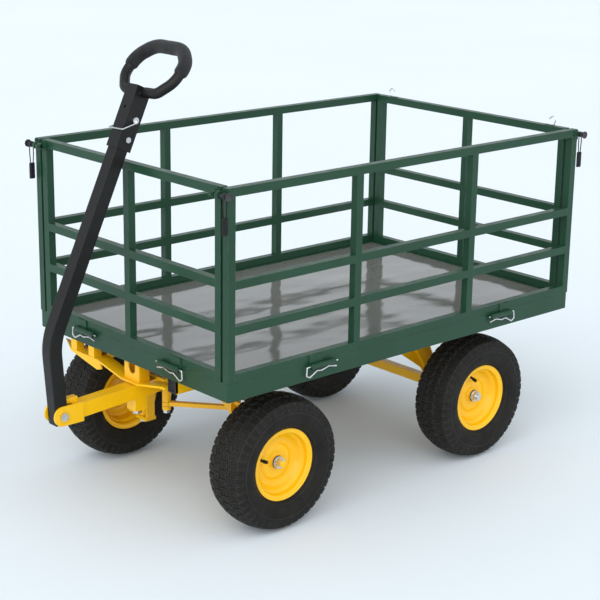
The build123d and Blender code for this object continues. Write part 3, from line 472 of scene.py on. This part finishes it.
def hub_tube(name, centre, side):
    """The hub's tube, through the dish, with its outer edges broken."""
    section = [
        (HUB_OUT, HUB_BORE), (HUB_OUT, HUB_RADIUS - HUB_CHAMFER), (HUB_OUT - HUB_CHAMFER, HUB_RADIUS),
        (HUB_CHAMFER - HUB_IN, HUB_RADIUS), (-HUB_IN, HUB_RADIUS - HUB_CHAMFER), (-HUB_IN, HUB_BORE),
    ]
    return lathe(name, centre, side, section, 64)


WELD_BEAD = 0.0022
WELD_RIPPLES = 46


def weld_ring(name, centre, side, out, radius, seed):
    """A ring of weld round the hub, rippled along its length."""
    steps, round_steps = WELD_RIPPLES * 4, 8
    columns = []
    for i in range(steps):
        turn = 2 * math.pi * i / steps
        swell = 1.0 + 0.16 * math.sin(WELD_RIPPLES * turn) + 0.22 * noise.noise(Vector((seed, turn * 3, 0)))
        column = []
        for k in range(round_steps):
            angle = 2 * math.pi * k / round_steps
            across, up = WELD_BEAD * swell * math.cos(angle), WELD_BEAD * swell * math.sin(angle)
            column.append(on_wheel(centre, side, out + across, radius + up, turn))
        columns.append(column)
    return grid_mesh(name, columns)


def valve_stem(name, centre, side, clock):
    """Rubber valve stem with a ribbed cap, out through the dish."""
    turn = math.radians(clock)
    base = on_wheel(centre, side, 0.002, 0.060, turn)
    tip = on_wheel(centre, side, 0.032, 0.048, turn)
    along = (tip - base).normalized()
    across = along.cross(Vector((0, 1, 0))).normalized()
    other = along.cross(across)
    # Reach along the stem and radius: the foot, the neck, then the cap.
    section = [
        (0.000, 0.0030), (0.000, 0.0052), (0.0040, 0.0054), (0.0062, 0.0052), (0.0080, 0.0046),
        (0.0110, 0.0036), (0.0180, 0.0033), (0.0182, 0.0028), (0.0200, 0.0028), (0.0202, 0.0040),
        (0.0210, 0.0044), (0.0310, 0.0043), (0.0322, 0.0038), (0.0328, 0.0024), (0.0329, 0.0006),
    ]
    columns = []
    for i in range(48):
        angle = 2 * math.pi * i / 48
        groove = 0.00028 * (i % 4 == 0)
        column = []
        for reach, radius in section:
            ribbed = radius - (groove if 0.0205 < reach < 0.0315 else 0.0)
            column.append(base + along * reach + (across * math.cos(angle) + other * math.sin(angle)) * ribbed)
        columns.append(column)
    mesh = grid_mesh(name, columns, closed_rows=False)
    shape = bmesh.new()
    shape.from_mesh(mesh)
    bmesh.ops.holes_fill(shape, edges=shape.edges, sides=0)
    shape.to_mesh(mesh)
    shape.free()
    return mesh


def build_wheels():
    """Tyre, valve and rim of each wheel, about the wheel's joint in the frame."""
    for corner, clock in VALVE_CLOCKS.items():
        body = f"wheel_{corner}"
        centre = joint_places[f"{body}_spin"]
        side = 1 if centre.y > 0 else -1
        tyre_mesh = tyre("tyre", centre, side)
        add_piece(f"tyre_shape_{corner}", tyre_mesh, body, "tyre_rubber", f"tyre_{corner}", 28.0)
        add_piece(f"valve_shape_{corner}", valve_stem("valve", centre, side, clock), body, "tyre_rubber")
        rim = join("rim", [
            rim_shell("rim_shell", centre, side),
            hub_tube("hub_tube", centre, side),
            weld_ring("hub_weld_out", centre, side, 0.0095, 0.0176, seed=clock),
            weld_ring("hub_weld_in", centre, side, 0.0062, 0.0178, seed=clock + 9),
        ])
        add_piece(f"rim_shape_{corner}", rim, body, "yellow_paint", f"rim_{corner}", 40.0)


# ---------------------------------------------------------------- handle grip

def leaning(degrees):
    """A direction that leans this far back from straight up, in the cart's middle plane."""
    lean = math.radians(degrees)
    return Vector((-math.sin(lean), 0.0, math.cos(lean)))


UPPER_LEAN, LOOP_LEAN = 24.8, 43.0
BEND = Vector((0.71338, 0.0, 0.47199))  # where the handle's tube bends
TUBE_TO_LOOP = 0.606
UPPER = leaning(UPPER_LEAN)
BACK = leaning(UPPER_LEAN + 90.0)
LOOP_RISE = leaning(LOOP_LEAN)
LOOP_ROOT = BEND + UPPER * TUBE_TO_LOOP + BACK * 0.002
GRIP_RADIUS, FOAM_RADIUS = 0.0125, 0.0165
FOAM_FROM = 0.074  # the sleeve covers the loop above this


def on_loop(y, rise):
    """A point in the grip loop's plane."""
    return LOOP_ROOT + LOOP_RISE * rise + Vector((0.0, y, 0.0))


def smooth_path(points, radii, spacing):
    """Points at even steps along a polyline with arcs at its corners."""
    fine = rounded([tuple(p) for p in points], [0.0, *radii, 0.0], 24, closed=False)
    lengths = [0.0]
    for a, b in zip(fine, fine[1:]):
        lengths.append(lengths[-1] + (b - a).length)
    steps = max(2, round(lengths[-1] / spacing))
    result, k = [], 0
    for i in range(steps + 1):
        want = lengths[-1] * i / steps
        while k < len(lengths) - 2 and lengths[k + 1] < want:
            k += 1
        span = lengths[k + 1] - lengths[k]
        result.append(fine[k].lerp(fine[k + 1], (want - lengths[k]) / span if span else 0.0))
    return result


def tube_columns(path, radius_at, normal, around=40):
    """Rings round a planar path; radius_at takes the share of the way along and the angle."""
    columns = []
    for i, point in enumerate(path):
        ahead = path[min(i + 1, len(path) - 1)] - path[max(i - 1, 0)]
        across = ahead.normalized().cross(normal).normalized()
        ring = []
        for k in range(around):
            angle = 2 * math.pi * k / around
            ring.append(point + (across * math.cos(angle) + normal * math.sin(angle)) * radius_at(i, angle))
        columns.append(ring)
    return columns


def build_grip():
    """The grip loop's bent tube and its foam sleeve."""
    normal = LOOP_RISE.cross(Vector((0.0, 1.0, 0.0))).normalized()
    corners = [
        on_loop(-0.0209, 0.012), on_loop(-0.062, 0.014), on_loop(-0.095, 0.052), on_loop(-0.095, 0.104),
        on_loop(-0.052, 0.142), on_loop(0.052, 0.142), on_loop(0.095, 0.104), on_loop(0.095, 0.052),
        on_loop(0.062, 0.014), on_loop(0.0209, 0.012),
    ]
    bends = [0.012, 0.018, 0.022, 0.024, 0.024, 0.022, 0.018, 0.012]
    path = smooth_path(corners, bends, 0.003)
    rings = tube_columns(path, lambda i, angle: GRIP_RADIUS, normal)
    tube = grid_mesh("grip_tube", rings, closed_columns=False, caps=True)
    add_piece("grip_tube_shape", tube, "handle", "black_paint", "grip_loop")
    sleeve = [p for p in path if (p - LOOP_ROOT).dot(LOOP_RISE) > FOAM_FROM]
    last = len(sleeve) - 1

    def soft(i, angle):
        """The sleeve's radius: drawn in at its ends, with slight dimples."""
        near = min(i, last - i)
        ease = 0.0034 * (1 - min(near / 3.0, 1.0)) ** 2
        dimple = 0.00035 * noise.noise(Vector((i * 0.13, math.cos(angle) * 2, math.sin(angle) * 2)))
        return FOAM_RADIUS - ease + dimple

    foam = grid_mesh("foam_sleeve", tube_columns(sleeve, soft, normal, 48), closed_columns=False, caps=True)
    piece = add_piece("foam_sleeve_shape", foam, "handle", "foam", "grip_foam", 60.0)


# ---------------------------------------------------------------- chassis rail ends

RAIL_END = 0.4847
RAIL_LOW, RAIL_HIGH = 0.338, 0.376
RAIL_INNER, RAIL_OUTER = 0.145, 0.176


def build_rail_end_shade_plug():
    """A dark dished plastic plug in the left chassis rail's open front end, standing in as painted shade for
    the shadowed inside of the open tube.
    """
    rings = [
        # inset from the rail's faces, distance ahead of its end, corner size
        (0.0, -0.0060, 0.0022), (0.0, 0.0006, 0.0022), (0.0006, 0.0012, 0.0022), (0.0050, 0.0012, 0.0022),
        (0.0062, -0.0014, 0.0014), (0.0100, -0.0018, 0.0010),
    ]
    columns = []
    for inset, ahead, corner in rings:
        inner, outer = RAIL_INNER + inset, RAIL_OUTER - inset
        low, high = RAIL_LOW + inset, RAIL_HIGH - inset
        outline = [(inner, low, 0.0), (outer, low, 0.0), (outer, high, 0.0), (inner, high, 0.0)]
        columns.append([(RAIL_END + ahead, p.x, p.y) for p in rounded(outline, corner, 4)])
    # The plug's dark plastic paints the shade inside the open rail end.
    shade_plug = grid_mesh("rail_end_shade_plug", columns, closed_columns=False, caps=True)
    add_piece("rail_end_shade_plug_left", shade_plug, "bed", "bush_plastic", angle=40.0)


# ---------------------------------------------------------------- stage

def set_floor():
    """A wide pale floor under the wheels."""
    size, level = 60.0, -0.0005
    mesh = bpy.data.meshes.new("studio_floor")
    mesh.from_pydata(
        [(-size, -size, level), (size, -size, level), (size, size, level), (-size, size, level)],
        [], [(0, 1, 2, 3)],
    )
    floor = bpy.data.objects.new("studio_floor", mesh)
    bpy.context.collection.objects.link(floor)
    finish = Finish("studio_floor_paint", Roughness=0.9, Specular_IOR_Level=0.1)
    tones = [(0.3, (0.785, 0.850, 0.895)), (0.7, (0.80, 0.865, 0.91))]
    tone = finish.ramp(finish.noise(0.6, 2.0), tones)
    finish.link(tone, finish.shader.inputs["Base Color"])
    mesh.materials.append(finish.material)


def set_sky():
    """A pale sky in plain display colours."""
    bpy.context.scene.view_settings.view_transform = "Standard"
    world = bpy.data.worlds.new("studio")
    world.use_nodes = True
    bpy.context.scene.world = world
    sky = world.node_tree
    where = sky.nodes.new("ShaderNodeTexCoord")
    split = sky.nodes.new("ShaderNodeSeparateXYZ")
    ramp = sky.nodes.new("ShaderNodeValToRGB")
    # Low down the sky is as bright as the floor, so no horizon line shows in a level view.
    ramp.color_ramp.elements.new(0.3)
    for element, (height, colour) in zip(
        ramp.color_ramp.elements,
        ((0.08, (0.90, 0.975, 1.0)), (0.3, (0.72, 0.77, 0.81)), (1.0, (0.76, 0.775, 0.79))),
    ):
        element.position = height
        element.color = (*colour, 1.0)
    sky.links.new(where.outputs["Generated"], split.inputs[0])
    sky.links.new(split.outputs["Z"], ramp.inputs["Fac"])
    sky.links.new(ramp.outputs["Color"], sky.nodes["Background"].inputs["Color"])
    sky.nodes["Background"].inputs["Strength"].default_value = 0.96


def set_lights():
    """Two very wide suns: a key from the front left and a weaker fill from the left side."""
    for name, energy, towards, width in (
        ("key_sun", 1.85, (-1.0, -0.45, -0.62), 70.0),
        ("fill_sun", 0.7, (0.15, -1.0, -0.55), 70.0),
    ):
        sun = bpy.data.lights.new(name, "SUN")
        sun.energy = energy
        sun.angle = math.radians(width)
        lamp = bpy.data.objects.new(name, sun)
        lamp.rotation_mode = "QUATERNION"
        lamp.rotation_quaternion = Vector(towards).to_track_quat("-Z", "Y")
        bpy.context.collection.objects.link(lamp)


CAMERA_PLACE = (2.62254, 2.96052, 1.60492)
CAMERA_LENS = 94.527


def set_camera():
    """The camera at its azimuth, elevation and roll."""
    azimuth, elevation, roll = (math.radians(v) for v in (137.77, 16.39, 0.91))
    back = Vector((
        math.sin(azimuth) * math.cos(elevation), -math.cos(azimuth) * math.cos(elevation), math.sin(elevation)
    ))
    level = Vector((math.cos(azimuth), math.sin(azimuth), 0.0))
    up = back.cross(level)
    right = level * math.cos(roll) + up * math.sin(roll)
    top = up * math.cos(roll) - level * math.sin(roll)
    data = bpy.data.cameras.new("camera")
    data.lens = CAMERA_LENS
    data.sensor_width = 36.0
    data.clip_end = 200.0
    camera = bpy.data.objects.new("camera", data)
    bpy.context.collection.objects.link(camera)
    turn = Matrix((right, top, back)).transposed().to_4x4()
    camera.matrix_world = Matrix.Translation(CAMERA_PLACE) @ turn
    bpy.context.scene.camera = camera


dress_cad_nodes()
build_wheels()
build_grip()
build_rail_end_shade_plug()
set_floor()
set_sky()
set_lights()
set_camera()
